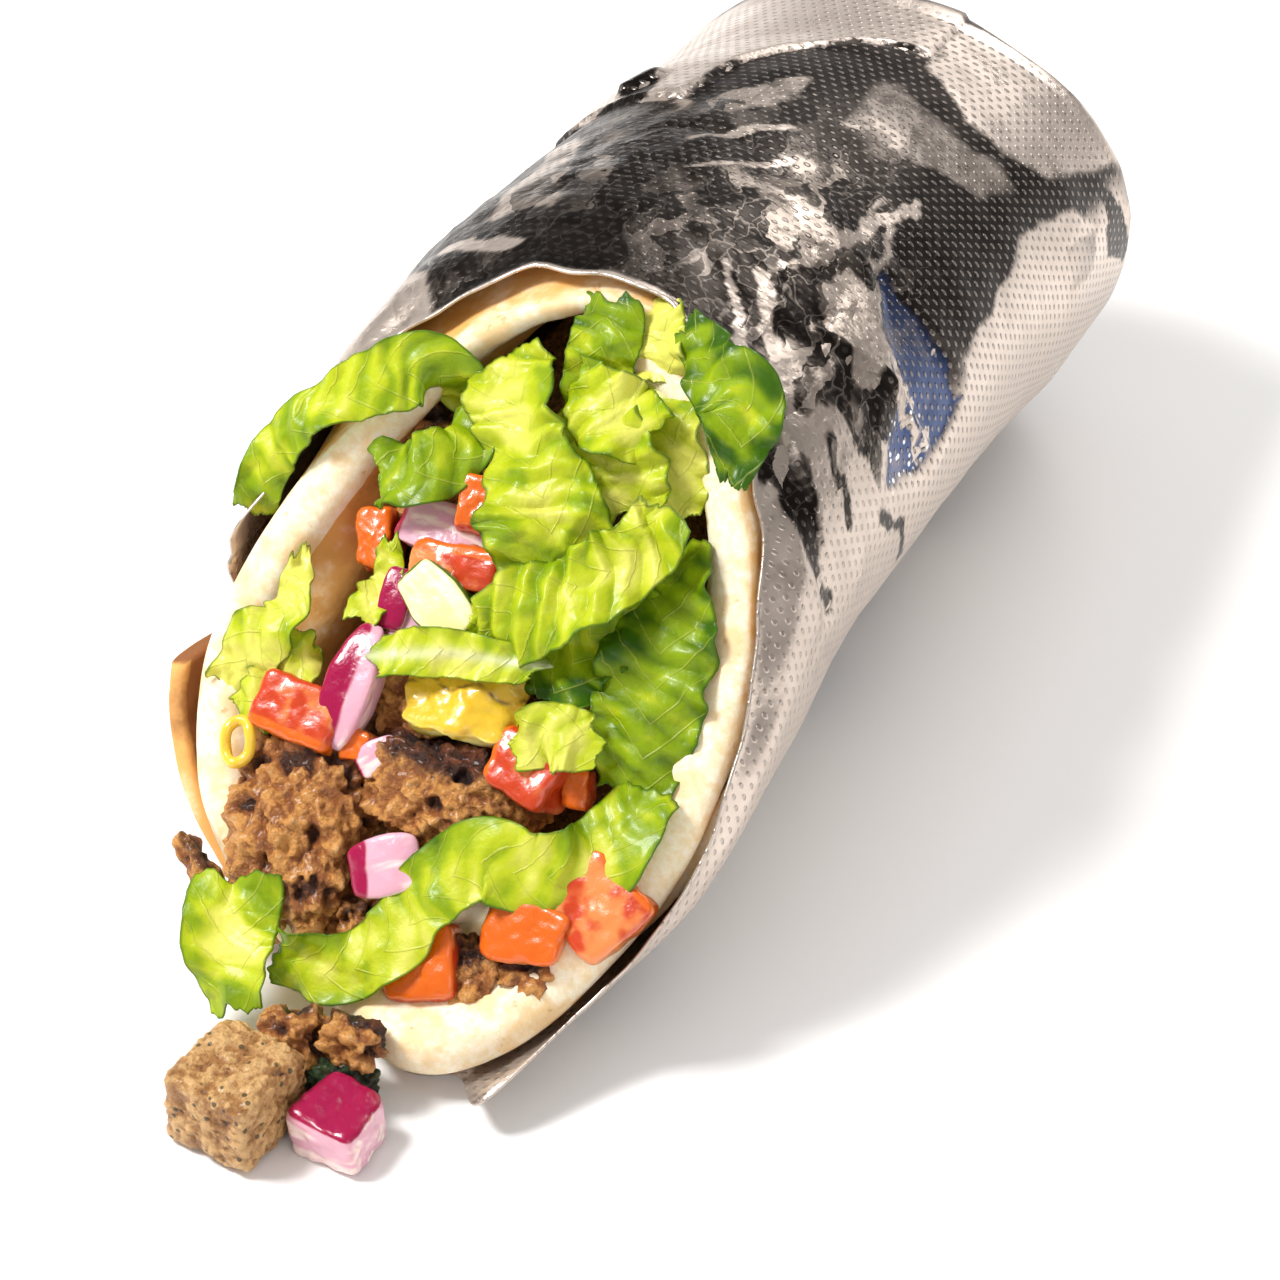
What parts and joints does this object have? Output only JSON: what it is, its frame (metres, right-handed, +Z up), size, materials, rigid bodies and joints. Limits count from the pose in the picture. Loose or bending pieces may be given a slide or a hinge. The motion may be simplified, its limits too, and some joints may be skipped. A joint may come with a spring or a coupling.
{
  "type": "gyro wrap",
  "caption": "Foil-wrapped flat-bread gyro lying on its side, open at one end with meat, lettuce, tomato and red onion showing, a few pieces spilled at the lip.",
  "frame": {"origin": "on the floor under the middle of the wrap, on the flat the foil rests on", "axes": "+Z up; +Y along the wrap toward its closed tail, so the open mouth faces -Y; +X to the right seen from the mouth"},
  "size_m": [0.0803, 0.1942, 0.0783],
  "materials": {
    "foil": "crumpled foil with a fine embossed dot grid, bright on ridges, dark where folded",
    "bread": "soft flat bread, pale cream with golden-brown toasted spots and edges",
    "meat": "grilled meat, crumbly tan-brown with charred tops",
    "lettuce": "crisp leaf lettuce, wet sheen, pale ribs and veins",
    "tomato": "diced tomato, orange-red skin and flesh, wet",
    "onion": "red onion, magenta-purple skin side, lilac-white flesh",
    "cucumber": "cucumber piece, pale flesh with a dark green rind",
    "pepper": "pale yellow pepper strips",
    "herb": "dark chopped parsley",
    "filling": "packed filling behind the shown pieces, dark"
  },
  "bodies": {
    "root": {"foil_wrap": "foil", "flat_bread": "bread", "filling_core": "filling", "meat_front_left": "meat", "meat_charred": "meat", "meat_middle": "meat", "meat_dark_middle": "meat", "meat_front_right": "meat", "meat_dark_front": "meat", "meat_right_edge": "meat", "meat_back": "meat", "meat_back_low": "meat", "meat_crumb_front": "meat", "meat_in_fold": "meat", "tomato_left": "tomato", "tomato_back_left": "tomato", "tomato_slice": "tomato", "tomato_upper": "tomato", "tomato_sliver": "tomato", "tomato_pink": "tomato", "tomato_chip": "tomato", "tomato_skin_left": "tomato", "tomato_skin_middle": "tomato", "tomato_front_right": "tomato", "tomato_small": "tomato", "tomato_deep": "tomato", "onion_white": "onion", "onion_strip": "onion", "onion_wedge": "onion", "onion_pink": "onion", "onion_front": "onion", "onion_small": "onion", "cucumber_piece": "cucumber", "pepper_strip": "pepper", "pepper_ring": "pepper", "lettuce_pale": "lettuce", "lettuce_right_wall": "lettuce", "lettuce_centre_side": "lettuce", "lettuce_tall": "lettuce", "lettuce_flare": "lettuce", "lettuce_right": "lettuce", "lettuce_dark": "lettuce", "lettuce_centre": "lettuce", "lettuce_centre_strip": "lettuce", "lettuce_strip_left": "lettuce", "lettuce_over_rim": "lettuce", "lettuce_outside_right": "lettuce", "lettuce_left_inside": "lettuce", "lettuce_left_lobe": "lettuce", "lettuce_shred": "lettuce", "lettuce_rib_left": "lettuce", "lettuce_light": "lettuce", "lettuce_front": "lettuce", "lettuce_lip": "lettuce", "meat_spilled_brown": "meat", "meat_spilled_dark": "meat", "meat_spilled_cube": "meat", "onion_spilled": "onion", "herb_leaf": "herb"}
  },
  "joints": []
}
